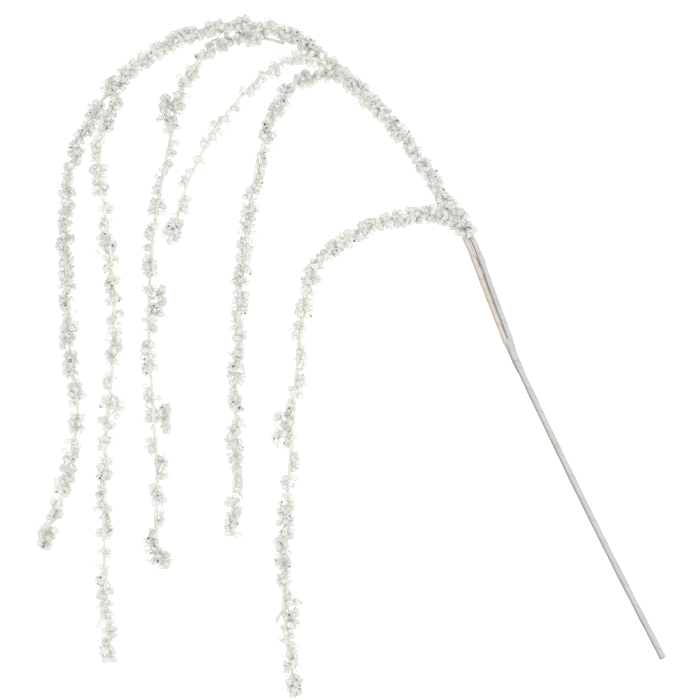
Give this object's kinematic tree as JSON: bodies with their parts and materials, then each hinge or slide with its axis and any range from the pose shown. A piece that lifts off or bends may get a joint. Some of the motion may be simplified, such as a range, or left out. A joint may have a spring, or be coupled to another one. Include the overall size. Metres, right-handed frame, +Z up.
{
  "type": "icicle hanging ornament",
  "caption": "Weeping spray of wrapped wires: a leaning stem forks into an arch and a side strand, and drops covered in clear ice chips hang from them.",
  "frame": {"origin": "middle of the stem's cut end, on the end face of its core wire", "axes": "+Z up as the spray is displayed, +X to the right, +Y to the back; the arch and its drops reach towards -X"},
  "size_m": [0.5487, 0.0744, 0.5939],
  "materials": {
    "core_steel": "dull annealed wire, a little rusty where it is cut",
    "paper_tape": "stretched florist's tape, cool white, faintly creased",
    "wire_cover": "matt cream white wrap on the wire",
    "ice_plastic": "clear moulded chips with rounded edges, held by clear glue"
  },
  "bodies": {
    "spray": {"stem_core_wire": "core_steel", "stem_tape_wrap": "paper_tape", "fork_tape_collar": "paper_tape", "strand_tape_end": "paper_tape", "arch_core_wire": "core_steel", "arch_strand_wrap": "wire_cover", "arch_wrap_lower": "wire_cover", "arch_wrap_crown": "wire_cover", "arch_wrap_outer": "wire_cover", "side_core_wire": "core_steel", "side_strand_wrap": "wire_cover", "side_lead_wrap": "wire_cover", "drop_2_lead": "wire_cover", "drop_3_lead": "wire_cover", "drop_4_lead": "wire_cover", "drop_5_lead": "wire_cover", "arch_crystals_lower": "ice_plastic", "arch_crystals_shoulder": "ice_plastic", "arch_crystals_crown": "ice_plastic", "arch_crystals_outer": "ice_plastic", "side_lead_crystals": "ice_plastic", "drop_3_lead_crystals": "ice_plastic"},
    "drop_1": {"drop_1_wire": "wire_cover", "drop_1_crystals_upper": "ice_plastic", "drop_1_crystals_middle": "ice_plastic", "drop_1_crystals_lower": "ice_plastic", "drop_1_tip": "ice_plastic"},
    "drop_2": {"drop_2_wire": "wire_cover", "drop_2_crystals_upper": "ice_plastic", "drop_2_crystals_middle": "ice_plastic", "drop_2_crystals_lower": "ice_plastic", "drop_2_tip": "ice_plastic"},
    "drop_3": {"drop_3_wire": "wire_cover", "drop_3_crystals_upper": "ice_plastic", "drop_3_crystals_middle": "ice_plastic", "drop_3_crystals_lower": "ice_plastic", "drop_3_tip": "ice_plastic"},
    "drop_4": {"drop_4_wire": "wire_cover", "drop_4_crystals_upper": "ice_plastic", "drop_4_crystals_lower": "ice_plastic", "drop_4_tip": "ice_plastic"},
    "drop_5": {"drop_5_wire": "wire_cover", "drop_5_crystals_upper": "ice_plastic", "drop_5_crystals_middle": "ice_plastic", "drop_5_crystals_lower": "ice_plastic", "drop_5_tip": "ice_plastic"},
    "drop_6": {"drop_6_wire": "wire_cover", "drop_6_crystals_upper": "ice_plastic", "drop_6_crystals_middle": "ice_plastic", "drop_6_crystals_lower": "ice_plastic", "drop_6_tip": "ice_plastic"}
  },
  "joints": [
    {"name": "drop_1_bend", "type": "hinge", "parent": "spray", "child": "drop_1", "pos_m": [-0.49, 0.002, 0.483], "axis": [1, 0, 0], "range_deg": [-15, 25]},
    {"name": "drop_2_bend", "type": "hinge", "parent": "spray", "child": "drop_2", "pos_m": [-0.484, -0.012, 0.464], "axis": [1, 0, 0], "range_deg": [-25, 15]},
    {"name": "drop_3_bend", "type": "hinge", "parent": "spray", "child": "drop_3", "pos_m": [-0.405, 0.012, 0.52], "axis": [1, 0, 0], "range_deg": [-10, 25]},
    {"name": "drop_4_bend", "type": "hinge", "parent": "spray", "child": "drop_4", "pos_m": [-0.317, -0.014, 0.522], "axis": [1, 0, 0], "range_deg": [-25, 10]},
    {"name": "drop_5_bend", "type": "hinge", "parent": "spray", "child": "drop_5", "pos_m": [-0.326, 0.01, 0.497], "axis": [1, 0, 0], "range_deg": [-15, 25]},
    {"name": "drop_6_bend", "type": "hinge", "parent": "spray", "child": "drop_6", "pos_m": [-0.304, -0.009, 0.337], "axis": [1, 0, 0], "range_deg": [-25, 25]}
  ]
}
